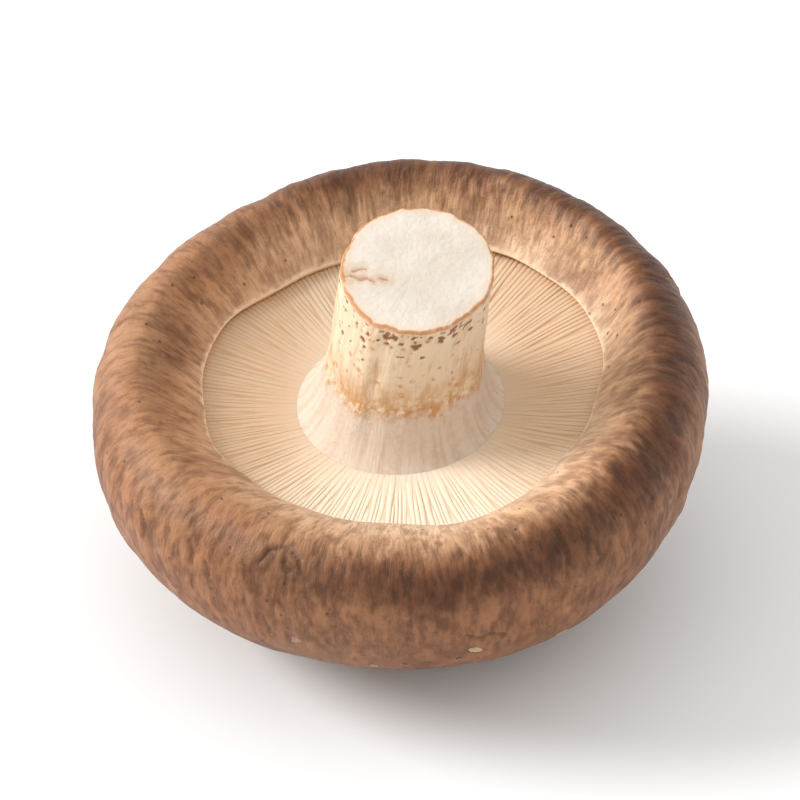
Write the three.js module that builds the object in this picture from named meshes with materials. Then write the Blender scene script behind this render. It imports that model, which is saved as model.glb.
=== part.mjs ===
// A fresh shiitake mushroom with its stem cut short, lying on the dome of its cap with the gills up.
// Millimetres, +Z up. The mushroom is drawn in its own axes, in which +Z runs up the stem and height 0
// is the edge of the rolled-in rim, and is then leaned over and set on the surface at z = 0.
import * as THREE from "three";

// Cap
const CAP_RADIUS = 30.2;
const WIDEST_HEIGHT = -2.2;
const DOME_DEPTH = 20.8;
const DOME_FULLNESS = 2.15;
const RIM_TOP_RADIUS = 25.3;
const RIM_TOP_HEIGHT = 4.6;
const EDGE_RADIUS = 19.6;
const EDGE_THICKNESS = 1.1;
const EDGE_OVERHANG = 0.7;

// Hollow under the cap, which the gills fill from its floor
const FLOOR_HEIGHT = -7.9;
const FLOOR_HEIGHT_AT_RIM = -4.8;
const SEAM = 0.3;

// Gills
const GILLS_AT_STEM = 72;
const GILL_HEIGHT_AT_STEM = -2.1;
const GILL_HEIGHT_AT_RIM = -1.25;
const GILL_INNER_RADIUS = 9.6;
const VALLEY_DEPTH = 1.3;
const SHORT_GILL_START = [12.4, 15.4];

// Stem
const STEM_RADIUS = 7.45;
const FLARE_RADIUS = 9.3;
const CUT_HEIGHT = 16.5;
const CUT_SLOPE = THREE.MathUtils.degToRad(12);
const STEM_LEAN = new THREE.Vector2(2.6, -0.9);
const VEIL_SCAR_HEIGHT = 3.6;
const VEIL_SCAR_RELIEF = 0.35;

// How it lies: leaned to the front (-Y) and to the left (-X), on a small flattened spot of the dome
const LEAN_FRONT = THREE.MathUtils.degToRad(5);
const LEAN_LEFT = THREE.MathUtils.degToRad(3);
const FLAT_SPOT_DEPTH = 0.5;

// Fineness
const CAP_COLUMNS = 160;
const STEM_COLUMNS = 72;
const DOME_STEPS = 12;
const RIM_STEPS = 8;
const INNER_SLOPE_STEPS = 4;

const ease = THREE.MathUtils.smoothstep;
const mix = THREE.MathUtils.lerp;

// A sum of cosines round the mushroom. Each wave is [number of lobes, size, angle of a crest in degrees].
const waves = (list) => (angle) =>
  list.reduce((sum, [lobes, size, crest]) => {
    return sum + size * Math.cos(lobes * (angle - THREE.MathUtils.degToRad(crest)));
  }, 0);

// Millimetres by which the mushroom departs from round
const outlineWave = waves([[2, 0.35, 30], [3, 0.25, 65], [5, 0.12, 10]]);
const edgeWave = waves([
  [1, 0.75, 50], [2, 0.4, 38], [3, 0.55, 51],
  [5, 0.22, 4], [8, 0.13, 20], [13, 0.09, 7],
]);
const rimHeightWave = waves([[1, 1.2, 92], [2, 0.2, 40], [3, 0.22, 100], [7, 0.08, 0]]);
const edgeHeightWave = waves([[1, 0.3, 95], [3, 0.15, 15], [6, 0.08, 40]]);
const domeWave = waves([[1, 0.5, 200], [2, 0.35, 80], [3, 0.2, 20]]);
const foldWave = waves([[17, 0.06, 5], [22, 0.07, 11], [29, 0.07, 2], [37, 0.06, 8]]);
const stemWave = waves([[2, 0.1, 170], [3, 0.08, 10], [7, 0.05, 25], [11, 0.04, 3], [19, 0.04, 8]]);
const scarWave = waves([[6, 0.2, 15], [9, 0.25, 4], [13, 0.3, 22]]);

// Revolves a profile of {r, h} points about the stem's axis, and lets shape() move each of its vertices.
// shape takes the angle, the profile point and the column number, and returns a Vector3.
function revolve(profile, columns, shape) {
  const outline = profile.map(({ r, h }) => new THREE.Vector2(r, h));
  const geometry = new THREE.LatheGeometry(outline, columns);
  const position = geometry.getAttribute("position");
  for (let i = 0; i < position.count; i++) {
    const column = Math.floor(i / profile.length) % columns;
    const angle = (2 * Math.PI * column) / columns;
    const moved = shape(angle, profile[i % profile.length], column);
    position.setXYZ(i, moved.x, moved.y, moved.z);
  }
  geometry.computeVertexNormals();
  return geometry;
}

const polar = (r, angle, h) => new THREE.Vector3(r * Math.cos(angle), r * Math.sin(angle), h);

// The cap's profile, from the top of the dome round the rolled rim to the edge, and along the hollow to the
// axis. "inside" goes from 0 on the skin to 1 at the edge and in the hollow. "lift" is the share of the rim's
// height wave, "dome" that of the dome's dents, and "fold" the way along the skin's normal in which the folds
// that run down over the roll move the point.
function capProfile() {
  const points = [];
  for (let i = 0; i <= DOME_STEPS; i++) {
    const t = (i / DOME_STEPS) * (Math.PI / 2);
    const r = CAP_RADIUS * Math.sin(t) ** (2 / DOME_FULLNESS);
    const h = WIDEST_HEIGHT - DOME_DEPTH * Math.cos(t) ** (2 / DOME_FULLNESS);
    const share = ease(t, 0.8, 1.5);
    const fold = [share * Math.sin(t), -share * Math.cos(t)];
    points.push({ r, h, inside: 0, lift: 0, dome: ease(-h, -WIDEST_HEIGHT, DOME_DEPTH), fold });
  }
  for (let i = 1; i <= RIM_STEPS; i++) {
    const t = (i / RIM_STEPS) * (Math.PI / 2);
    const r = RIM_TOP_RADIUS + (CAP_RADIUS - RIM_TOP_RADIUS) * Math.cos(t);
    const h = mix(WIDEST_HEIGHT, RIM_TOP_HEIGHT, Math.sin(t));
    points.push({ r, h, inside: 0, lift: Math.sin(t), dome: 0, fold: [Math.cos(t), Math.sin(t)] });
  }
  for (let i = 1; i <= INNER_SLOPE_STEPS; i++) {
    const t = i / INNER_SLOPE_STEPS;
    const r = mix(RIM_TOP_RADIUS, EDGE_RADIUS, t);
    const h = RIM_TOP_HEIGHT * (1 - t ** 1.3);
    const fold = [-0.5 * t * (1 - t), 1 - t];
    points.push({ r, h, inside: ease(t, 0, 1), lift: 1 - ease(t, 0, 1), dome: 0, fold });
  }
  const wall = EDGE_RADIUS + EDGE_OVERHANG;
  const hollow = [
    [EDGE_RADIUS + 0.3 * EDGE_OVERHANG, -0.5 * EDGE_THICKNESS],
    [wall, -EDGE_THICKNESS],
    [wall, FLOOR_HEIGHT_AT_RIM],
    [mix(wall, GILL_INNER_RADIUS, 0.5), mix(FLOOR_HEIGHT_AT_RIM, FLOOR_HEIGHT, 0.5)],
    [GILL_INNER_RADIUS, FLOOR_HEIGHT],
    [0, FLOOR_HEIGHT],
  ];
  return points.concat(hollow.map(([r, h]) => ({ r, h, inside: 1, lift: 0, dome: 0, fold: [0, 0] })));
}

// The direction that is straight up once the mushroom is leaned, in the mushroom's own axes.
const lean = new THREE.Quaternion().setFromEuler(new THREE.Euler(LEAN_FRONT, -LEAN_LEFT, 0));
const up = new THREE.Vector3(0, 0, 1).applyQuaternion(lean.clone().invert());

// Flattens whatever of the dome lies within FLAT_SPOT_DEPTH of its lowest point.
function pressFlat(geometry) {
  const position = geometry.getAttribute("position");
  const point = new THREE.Vector3();
  let lowest = Infinity;
  for (let i = 0; i < position.count; i++) {
    lowest = Math.min(lowest, point.fromBufferAttribute(position, i).dot(up));
  }
  const level = lowest + FLAT_SPOT_DEPTH;
  for (let i = 0; i < position.count; i++) {
    const height = point.fromBufferAttribute(position, i).dot(up);
    if (height < level) {
      point.addScaledVector(up, level - height);
      position.setXYZ(i, point.x, point.y, point.z);
    }
  }
  geometry.computeVertexNormals();
}

function cap() {
  const geometry = revolve(capProfile(), CAP_COLUMNS, (angle, { r, h, inside, lift, dome, fold }) => {
    const widening = mix(outlineWave(angle) / CAP_RADIUS, edgeWave(angle) / EDGE_RADIUS, inside);
    const raised = lift * rimHeightWave(angle) + inside * edgeHeightWave(angle) * ease(h, FLOOR_HEIGHT, -2);
    const dented = dome * domeWave(angle) * (r / CAP_RADIUS);
    const out = r * (1 + widening) + fold[0] * foldWave(angle);
    return polar(out, angle, h + raised + dented + fold[1] * foldWave(angle));
  });
  pressFlat(geometry);
  return geometry;
}

// Height of the gills' free edges at a radius.
function gillHeight(r) {
  const t = THREE.MathUtils.inverseLerp(GILL_INNER_RADIUS, EDGE_RADIUS + EDGE_OVERHANG, r);
  return mix(GILL_HEIGHT_AT_STEM, GILL_HEIGHT_AT_RIM, t ** 1.2);
}

// The gills, one ring: every fourth column is a long gill from stem to rim, the columns half way
// between them are short gills that start further out, and the odd columns are the valleys between gills.
function gills() {
  const outer = EDGE_RADIUS + EDGE_OVERHANG - SEAM;
  const reaches = [outer, 18.4, 16.6, 14.6, 12.8, 11.1, GILL_INNER_RADIUS];
  const free = reaches.map((r) => ({ r, h: gillHeight(r), free: true }));
  const attached = [
    { r: GILL_INNER_RADIUS, h: FLOOR_HEIGHT + SEAM, free: false },
    { r: outer, h: FLOOR_HEIGHT_AT_RIM + SEAM, free: false },
  ];
  const profile = [...attached, ...free, attached[0]];
  const columns = 4 * GILLS_AT_STEM;
  return revolve(profile, columns, (angle, { r, h, free }, column) => {
    const valley = VALLEY_DEPTH * mix(0.45, 1, ease(r, GILL_INNER_RADIUS, 15));
    const start = SHORT_GILL_START[column % 8 === 2 ? 0 : 1];
    const drop = column % 2 ? 1 : column % 4 === 2 ? 1 - ease(r, start - 1.5, start + 1.5) : 0;
    const outward = ease(r, GILL_INNER_RADIUS, EDGE_RADIUS);
    const raised = free ? outward * edgeHeightWave(angle) - drop * valley : 0;
    return polar(r * (1 + (outward * edgeWave(angle)) / EDGE_RADIUS), angle, h + raised);
  });
}

// The stem: a short stout column that flares where the gills meet it, with the ragged scar of the veil
// round it and a cut face that slopes to the front.
function stem() {
  const foot = FLOOR_HEIGHT + SEAM;
  const profile = [
    [0, foot],
    [FLARE_RADIUS - 0.2, foot],
    [FLARE_RADIUS, GILL_HEIGHT_AT_STEM - 0.3],
    [FLARE_RADIUS - 0.55, GILL_HEIGHT_AT_STEM + 0.5],
    [FLARE_RADIUS - 1.1, GILL_HEIGHT_AT_STEM + 1.6],
    [STEM_RADIUS + 0.35, 1.2],
    [STEM_RADIUS + 0.2, VEIL_SCAR_HEIGHT - 0.9],
    [STEM_RADIUS + 0.15, VEIL_SCAR_HEIGHT],
    [STEM_RADIUS + 0.1, VEIL_SCAR_HEIGHT + 0.9],
    [STEM_RADIUS, 7],
    [STEM_RADIUS - 0.05, 11],
    [STEM_RADIUS, CUT_HEIGHT - 1.2],
    [STEM_RADIUS - 0.06, CUT_HEIGHT - 0.25],
    [STEM_RADIUS - 0.35, CUT_HEIGHT],
    [STEM_RADIUS * 0.55, CUT_HEIGHT + 0.1],
    [0, CUT_HEIGHT + 0.15],
  ].map(([r, h]) => ({ r, h }));
  return revolve(profile, STEM_COLUMNS, (angle, { r, h }) => {
    const above = ease(h, GILL_HEIGHT_AT_STEM, 2);
    const nearScar = Math.max(0, 1 - Math.abs(h - VEIL_SCAR_HEIGHT) / 0.9);
    const ragged = nearScar * VEIL_SCAR_RELIEF * (0.6 + scarWave(angle));
    const reach = r * (1 + (above * stemWave(angle)) / STEM_RADIUS) + (r > STEM_RADIUS - 1 ? ragged : 0);
    const point = polar(reach, angle, h);
    const rise = Math.max(0, (h - GILL_HEIGHT_AT_STEM) / (CUT_HEIGHT - GILL_HEIGHT_AT_STEM));
    point.z += ease(h, 6, CUT_HEIGHT - 1) * point.y * Math.tan(CUT_SLOPE);
    point.x += STEM_LEAN.x * rise ** 1.15;
    point.y += STEM_LEAN.y * rise ** 1.15;
    return point;
  });
}

const piece = (name, geometry, color, roughness) => {
  const mesh = new THREE.Mesh(geometry, new THREE.MeshStandardMaterial({ color, roughness, metalness: 0 }));
  mesh.name = name;
  return mesh;
};

const leaned = new THREE.Group();
leaned.quaternion.copy(lean);
leaned.add(piece("cap", cap(), 0x8f6142, 0.75));
leaned.add(piece("gills", gills(), 0xeadbc0, 0.8));
leaned.add(piece("stem", stem(), 0xe6d2b3, 0.75));

const mushroom = new THREE.Group();
mushroom.add(leaned);
mushroom.updateMatrixWorld(true);
const box = new THREE.Box3().setFromObject(mushroom, true);
const middle = box.getCenter(new THREE.Vector3());
leaned.position.set(-middle.x, -middle.y, -box.min.z);

export default mushroom;
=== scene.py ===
"""A fresh shiitake mushroom lying on the dome of its cap, with its gills up and its stem cut short.

Shapes are worked out in millimetres in the mushroom's own axes, in which +Z runs up the stem and height 0 is
the edge of the rolled-in rim. They are then leaned over and set on the surface, in metres.
"""

import itertools

import bpy
import numpy as np
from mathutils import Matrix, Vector


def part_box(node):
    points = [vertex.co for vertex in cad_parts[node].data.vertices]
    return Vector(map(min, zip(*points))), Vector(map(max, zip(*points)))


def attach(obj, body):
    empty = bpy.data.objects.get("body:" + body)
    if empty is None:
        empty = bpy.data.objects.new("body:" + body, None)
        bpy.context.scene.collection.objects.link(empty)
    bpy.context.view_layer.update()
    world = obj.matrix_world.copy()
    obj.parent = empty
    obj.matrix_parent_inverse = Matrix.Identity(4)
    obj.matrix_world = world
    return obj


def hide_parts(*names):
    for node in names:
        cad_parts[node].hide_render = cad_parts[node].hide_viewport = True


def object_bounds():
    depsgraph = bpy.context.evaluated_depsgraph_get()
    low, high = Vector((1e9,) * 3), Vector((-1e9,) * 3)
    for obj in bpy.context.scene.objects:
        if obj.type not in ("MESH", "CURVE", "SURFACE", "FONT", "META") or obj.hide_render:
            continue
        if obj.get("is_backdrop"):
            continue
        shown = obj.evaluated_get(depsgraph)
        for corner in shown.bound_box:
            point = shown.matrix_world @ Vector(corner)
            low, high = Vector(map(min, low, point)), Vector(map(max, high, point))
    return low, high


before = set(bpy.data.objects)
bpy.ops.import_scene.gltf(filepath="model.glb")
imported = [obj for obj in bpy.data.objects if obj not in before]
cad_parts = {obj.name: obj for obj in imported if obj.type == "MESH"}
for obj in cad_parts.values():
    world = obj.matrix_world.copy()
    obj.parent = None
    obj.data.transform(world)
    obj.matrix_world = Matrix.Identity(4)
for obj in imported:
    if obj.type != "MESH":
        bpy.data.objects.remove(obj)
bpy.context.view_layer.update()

# A metre in millimetres, and a millimetre in metres
METRE = 1000
MILLIMETRE = 0.001

# Cap
CAP_RADIUS = 30.2
WIDEST_HEIGHT = -2.2
DOME_DEPTH = 20.8
DOME_FULLNESS = 2.15
RIM_TOP_RADIUS = 25.3
RIM_TOP_HEIGHT = 4.6
RIM_STEEPENS = 1.3
EDGE_RADIUS = 19.6
EDGE_OVERHANG = 0.7
LIP_RADIUS = 0.28
FOLD_ON_SKIN = 0.6

# Rows and columns of the cap: the dome and the rim meet 16 mm down from the top of the roll
BETWEEN_DOME_AND_RIM = 16
DOME_ROWS = 82
RIM_ROWS = 66
LIP_ROWS = 11
CAP_COLUMNS = 1200

# Relief of the skin, and the radius at which its grain is measured
SKIN_RADIUS = 27
MM_A_DEGREE = 0.45
PLEATS = 0.035
RIDGES = 0.045
LUMPS = 0.03
DENTS = 0.13
PITS = 0.12
CRACK_DEPTH = 0.14
CRACK_SWELLING = 0.1
LIP_GROOVE = 0.05

# Hollow under the cap
FLOOR_HEIGHT = -7.9
FLOOR_HEIGHT_AT_RIM = -4.8
SEAM = 0.3

# Gills
LONG_GILLS = 126
GILL_HEIGHT_AT_STEM = -2.1
GILL_HEIGHT_AT_RIM = -0.95
GILL_INNER_RADIUS = 9.6
VALLEY_DEPTH = 0.1
GOLDEN_SHARE = 0.61803

# Stem
STEM_RADIUS = 7.45
FLARE_RADIUS = 9.3
CUT_HEIGHT = 16.5
CUT_ROUNDING = 0.3
CUT_SLOPE = np.radians(12)
STEM_LEAN = (2.6, -0.9)
VEIL_SCAR_HEIGHT = 3.6
STEM_GRAIN_RADIUS = 7.5
STEM_COLUMNS = 520

# How it lies
LEAN_FRONT = np.radians(5)
LEAN_LEFT = np.radians(3)

# Random numbers: large primes, and a mask that keeps the last 24 bits
CORNER_PRIMES = (73856093, 19349663, 83492791)
SEED_PRIME = 2654435761
STIRRING_PRIMES = (1274126177, 668265263)
LAST_BITS = 0xFFFFFF
FAR_OFF = 99.0


# Numbers and curves


def ease(x, start, end):
    """0 before start, 1 after end, and a smooth cubic step between them."""
    t = np.clip((x - start) / (end - start), 0, 1)
    return t * t * (3 - 2 * t)


def mix(a, b, t):
    """The value t of the way from a to b."""
    return a + (b - a) * t


def hump(x, middle, width):
    """A bell of height 1 round the middle."""
    return np.exp(-(((x - middle) / width) ** 2))


def waves(angle, *crests):
    """A sum of cosines round the mushroom. Each crest gives a number of lobes, a size, and where one lobe
    stands in degrees."""
    return sum(size * np.cos(lobes * (angle - np.radians(crest))) for lobes, size, crest in crests)


def smooth_through(x, knots, values):
    """A cubic curve through the knots, whose slope at each knot is that of a parabola through it and its
    neighbours."""
    knots, values = np.asarray(knots, float), np.asarray(values, float)
    slopes = np.gradient(values, knots)
    i = np.clip(np.searchsorted(knots, x) - 1, 0, len(knots) - 2)
    width = knots[i + 1] - knots[i]
    t = np.clip((x - knots[i]) / width, 0, 1)
    start = (1 + 2 * t) * (1 - t) ** 2 * values[i] + t * (1 - t) ** 2 * width * slopes[i]
    end = t * t * (3 - 2 * t) * values[i + 1] - t * t * (1 - t) * width * slopes[i + 1]
    return start + end


def lattice(corners, seed):
    """Random numbers in 0..1 at the corners of a unit lattice: whole coordinates and the seed times large
    primes, stirred by shifts and two more primes, and cut to their last bits."""
    n = np.bitwise_xor.reduce(corners.astype(np.int64) * CORNER_PRIMES, axis=-1) ^ (seed * SEED_PRIME)
    n = (n ^ (n >> 13)) * STIRRING_PRIMES[0]
    n = (n ^ (n >> 16)) * STIRRING_PRIMES[1]
    return ((n ^ (n >> 15)) & LAST_BITS) / LAST_BITS


def noise(points, seed):
    """Smooth noise in -1..1: the lattice's numbers at a cell's eight corners, blended with a smooth fade."""
    cell = np.floor(points)
    part = points - cell
    fade = part * part * (3 - 2 * part)
    total = 0
    for corner in itertools.product((0, 1), repeat=3):
        weight = np.prod(np.where(np.array(corner) == 1, fade, 1 - fade), axis=-1)
        total = total + weight * lattice(cell + corner, seed)
    return 2 * total - 1


def layered(points, seed, layers=3):
    """Noise on noise: each layer is about half as wide and 0.55 as high as the one before."""
    return sum(0.55**i * noise(points * 2.03**i, seed + 17 * i) for i in range(layers))


def scattered(points, seed):
    """Distance to the nearest of a set of strewn points, one to each cell of a unit lattice, and that
    point's own random number."""
    cell = np.floor(points)
    nearest = np.full(points.shape[:-1], FAR_OFF)
    number = np.zeros(points.shape[:-1])
    for step in itertools.product((-1, 0, 1), repeat=3):
        there = cell + step
        middle = there + np.stack([lattice(there, seed + k) for k in (1, 2, 3)], axis=-1)
        distance = np.linalg.norm(points - middle, axis=-1)
        closer = distance < nearest
        nearest = np.where(closer, distance, nearest)
        number = np.where(closer, lattice(there, seed + 4), number)
    return nearest, number


def off_path(x, y, path):
    """Distance from each point to a chain of straight stretches: the least distance to any stretch."""
    nearest = np.full(np.shape(x), FAR_OFF)
    for (ax, ay), (bx, by) in zip(path, path[1:]):
        length = (bx - ax) ** 2 + (by - ay) ** 2
        t = np.clip(((x - ax) * (bx - ax) + (y - ay) * (by - ay)) / length, 0, 1)
        nearest = np.minimum(nearest, np.hypot(x - mix(ax, bx, t), y - mix(ay, by, t)))
    return nearest


def polar(r, angle, h):
    """Points at a radius and an angle round the stem's axis, at a height."""
    r, angle, h = np.broadcast_arrays(r, angle, h)
    return np.stack([r * np.cos(angle), r * np.sin(angle), h], axis=-1)


def by_angle(along, radius, angle):
    """Points made of a number and a place on a circle. Noise there goes by both, and closes on itself."""
    return np.stack(np.broadcast_arrays(along, radius * np.cos(angle), radius * np.sin(angle)), axis=-1)


def outward(grid):
    """Unit normals of a grid of points, whose columns close on themselves: the cross product of its
    differences across and along."""
    across = np.roll(grid, -1, axis=1) - np.roll(grid, 1, axis=1)
    along = np.gradient(grid, axis=0)
    normal = np.cross(across, along)
    return normal / np.maximum(np.linalg.norm(normal, axis=-1, keepdims=True), 1e-9)


# Departures from round, the same in every piece


def outline_wave(angle):
    """Millimetres by which the cap's outline departs from a circle."""
    return waves(angle, (2, 0.35, 30), (3, 0.25, 65), (5, 0.12, 10))


def edge_wave(angle):
    """Millimetres by which the rim's edge departs from a circle."""
    crests = ((1, 0.75, 50), (2, 0.4, 38), (3, 0.55, 51), (5, 0.22, 4), (8, 0.13, 20), (13, 0.09, 7))
    return waves(angle, *crests)


def rim_height_wave(angle):
    """Millimetres by which the top of the rolled rim rises and falls."""
    return waves(angle, (1, 1.2, 92), (2, 0.2, 40), (3, 0.22, 100), (7, 0.08, 0))


def edge_height_wave(angle):
    """Millimetres by which the rim's edge and the gills rise and fall."""
    return waves(angle, (1, 0.3, 95), (3, 0.15, 15), (6, 0.08, 40))


def dome_wave(angle):
    """Millimetres by which the dome's shoulder is dented."""
    return waves(angle, (1, 0.5, 200), (2, 0.35, 80), (3, 0.2, 20))


def stem_wave(angle):
    """Millimetres by which the stem departs from round."""
    return waves(angle, (2, 0.1, 170), (3, 0.08, 10), (7, 0.05, 25), (11, 0.04, 3), (19, 0.04, 8))


def fold_wave(angle):
    """Millimetres by which the folds that run down over the roll rise and fall."""
    return waves(angle, (17, 0.06, 5), (22, 0.07, 11), (29, 0.07, 2), (37, 0.06, 8))


def band_wave(angle):
    """Millimetres by which the dark band lies further down the roll's outside."""
    return waves(angle, (1, 1.4, -90), (1, 1.2, 0), (2, 1.2, 90))


# Meshes


def turn():
    """The rotation that leans the mushroom: to the left about Y, then to the front about X."""
    cos_x, sin_x = np.cos(LEAN_FRONT), np.sin(LEAN_FRONT)
    cos_y, sin_y = np.cos(-LEAN_LEFT), np.sin(-LEAN_LEFT)
    about_x = np.array([[1, 0, 0], [0, cos_x, -sin_x], [0, sin_x, cos_x]])
    about_y = np.array([[cos_y, 0, sin_y], [0, 1, 0], [-sin_y, 0, cos_y]])
    return about_x @ about_y


def set_down(points):
    """How far the leaned cap is drawn in, so that its relief stays within the box of its solid, and where
    it then stands: in the middle of that box, with its top at the box's."""
    leaned = points @ turn().T
    lowest, highest = leaned.min((0, 1)), leaned.max((0, 1))
    low, high = (np.array(corner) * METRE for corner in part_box("cap"))
    drawn_in = ((high - low) / (highest - lowest))[:2].min()
    stands_at = (low + high) / 2 - drawn_in * (lowest + highest) / 2
    stands_at[2] = high[2] - drawn_in * highest[2]
    return drawn_in, stands_at


def lying(points):
    """Points of the mushroom's axes in the millimetres of the frame: leaned, drawn in and set down."""
    return points @ turn().T * DRAWN_IN + STANDS_AT


def woven(rows, columns, ring):
    """Corner numbers of a grid's faces: squares between neighbouring rows and columns, and, unless the
    rows form a ring, fans of triangles at two poles."""
    index = np.arange(rows * columns).reshape(rows, columns)
    lower = index if ring else index[:-1]
    upper = np.roll(index, -1, axis=0) if ring else index[1:]
    squares = np.stack([lower, np.roll(lower, -1, 1), np.roll(upper, -1, 1), upper], axis=-1).reshape(-1, 4)
    if ring:
        return squares, np.zeros((0, 3), int)
    first, last = index[0], index[-1]
    pole = np.full(columns, rows * columns)
    under = np.stack([pole, np.roll(first, -1), first], axis=-1)
    over = np.stack([pole + 1, last, np.roll(last, -1)], axis=-1)
    return squares, np.concatenate([under, over])


def meshed(name, points, squares, triangles):
    """A mesh from points in metres and the corner numbers of its faces."""
    corners = np.concatenate([squares.ravel(), triangles.ravel()])
    sizes = np.repeat([4, 3], [len(squares), len(triangles)])
    mesh = bpy.data.meshes.new(name)
    mesh.vertices.add(len(points))
    mesh.vertices.foreach_set("co", points.ravel())
    mesh.loops.add(len(corners))
    mesh.loops.foreach_set("vertex_index", corners)
    mesh.polygons.add(len(sizes))
    mesh.polygons.foreach_set("loop_start", np.cumsum(sizes) - sizes)
    return mesh


def grown(name, grid, finish, node, ring=False, normals=None, **patterns):
    """Makes a piece from a grid of points in the mushroom's axes. Where it dips under the surface it is
    pressed flat. patterns are values at the points, which the material reads by name."""
    rows, columns = grid.shape[:2]

    def listed(values):
        """The grid's values in one list, with the middles of the first and last rows for the poles."""
        flat = values.reshape(rows * columns, -1)
        return flat if ring else np.vstack([flat, flat[:columns].mean(0), flat[-columns:].mean(0)])

    points = lying(listed(grid))
    pressed = points[:, 2] < 0
    points[pressed, 2] = 0
    mesh = meshed(name, points * MILLIMETRE, *woven(rows, columns, ring))
    for pattern, values in patterns.items():
        kind, key = ("FLOAT_VECTOR", "vector") if values.ndim == 3 else ("FLOAT", "value")
        mesh.attributes.new(pattern, kind, "POINT").data.foreach_set(key, listed(values).ravel())
    mesh.update(calc_edges=True)
    mesh.shade_smooth()
    if normals is not None:
        normals = listed(normals) @ turn().T
        normals[pressed] = (0, 0, -1)
        lengths = np.linalg.norm(normals, axis=1, keepdims=True)
        mesh.normals_split_custom_set_from_vertices(normals / lengths)
    mesh.materials.append(finish.material)
    piece = bpy.data.objects.new(name, mesh)
    bpy.context.scene.collection.objects.link(piece)
    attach(piece, "root")
    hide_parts(node)


# Cap


def dome_part():
    """The dome's stretch of the profile, from its middle to its widest: a superellipse."""
    t = np.linspace(0, np.pi / 2, 400)
    r = CAP_RADIUS * np.sin(t) ** (2 / DOME_FULLNESS)
    h = WIDEST_HEIGHT - DOME_DEPTH * np.cos(t).clip(0) ** (2 / DOME_FULLNESS)
    folded = ease(t, 0.8, 1.5)
    dented = ease(-h, -WIDEST_HEIGHT, DOME_DEPTH)
    return [r, h, 0 * t, 0 * t, dented, folded * np.sin(t), -folded * np.cos(t)]


def roll_part():
    """Over the rolled rim, from the widest to the top: a quarter ellipse."""
    t = np.linspace(0, np.pi / 2, 120)[1:]
    out, up = np.cos(t), np.sin(t)
    r, h = mix(RIM_TOP_RADIUS, CAP_RADIUS, out), mix(WIDEST_HEIGHT, RIM_TOP_HEIGHT, up)
    return [r, h, 0 * t, up, 0 * t, out, up]


def slope_part():
    """Down from the top of the roll nearly to the edge: a slope that steepens."""
    t = np.linspace(0, 0.975, 90)[1:]
    inside = ease(t, 0, 1)
    r, h = mix(RIM_TOP_RADIUS, EDGE_RADIUS, t), RIM_TOP_HEIGHT * (1 - t**RIM_STEEPENS)
    return [r, h, inside, 1 - inside, 0 * t, -0.5 * t * (1 - t), 1 - t]


def lip_part():
    """Round the edge: an arc from its shoulder to its lowest point."""
    t = np.radians(np.linspace(125, 270, 20))
    r, h = EDGE_RADIUS + LIP_RADIUS * (1 + np.cos(t)), -0.1 + LIP_RADIUS * np.sin(t)
    return [r, h, 1 + 0 * t] + 4 * [0 * t]


def hollow_part():
    """Down the wall behind the edge and in over the floor under the gills: straight stretches."""
    wall = EDGE_RADIUS + EDGE_OVERHANG
    halfway = mix(FLOOR_HEIGHT_AT_RIM, FLOOR_HEIGHT, 0.5)
    r = np.array([wall, wall, wall, mix(wall, GILL_INNER_RADIUS, 0.5), GILL_INNER_RADIUS])
    h = np.array([-1.1, -2.5, FLOOR_HEIGHT_AT_RIM, halfway, FLOOR_HEIGHT])
    return [r, h, 1 + 0 * r] + 4 * [0 * r]


def cap_profile():
    """The cap's profile in small steps, from the middle of the dome to the hollow. Its rows are radius,
    height, how far in it is (0 on the skin, 1 at the edge), its shares of the rim's height wave and of
    the dome's dents, and the way out and up in which folds move it. Also the way along it from the top of
    the roll, positive down the dome, and the numbers of the steps at which the lip and the hollow
    start."""
    parts = [np.array(part) for part in (dome_part(), roll_part(), slope_part(), lip_part(), hollow_part())]
    profile = np.concatenate(parts, axis=1)
    r, h = profile[:2]
    way = np.cumsum(np.hypot(np.diff(r, prepend=0), np.diff(h, prepend=h[0])))
    _, roll_end, lip, hollow, _ = np.cumsum([part.shape[1] for part in parts])
    return profile, way[roll_end - 1] - way, lip, hollow


def cap_ways():
    """The ways along the profile at which the cap has its rows."""
    _, way, lip, hollow = cap_profile()
    dome = np.linspace(way[0] - 0.3, BETWEEN_DOME_AND_RIM, DOME_ROWS)
    rim = np.linspace(BETWEEN_DOME_AND_RIM, way[lip], RIM_ROWS)[1:-1]
    return np.concatenate([dome, rim, np.linspace(way[lip], way[hollow - 1], LIP_ROWS), way[hollow:]])


def cap_grid():
    """The cap without its fine relief, with each point's angle and way. Each row is widened by the
    outline's wave on the skin and by the edge's wave inside."""
    ways = cap_ways()
    profile, way, *_ = cap_profile()
    r, h, inside, lift, dents, out, up = (np.interp(-ways, -way, row)[:, None] for row in profile)
    angle = np.arange(CAP_COLUMNS) * 2 * np.pi / CAP_COLUMNS
    widening = mix(outline_wave(angle) / CAP_RADIUS, edge_wave(angle) / EDGE_RADIUS, inside)
    raised = lift * rim_height_wave(angle) + inside * edge_height_wave(angle) * ease(h, FLOOR_HEIGHT, -2)
    dented = dents * dome_wave(angle) * (r / CAP_RADIUS)
    fold = FOLD_ON_SKIN * fold_wave(angle)
    grid = polar(r * (1 + widening) + out * fold, angle, h + raised + dented + up * fold)
    around, down = np.broadcast_arrays(angle, ways[:, None])
    return grid, around, down


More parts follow.
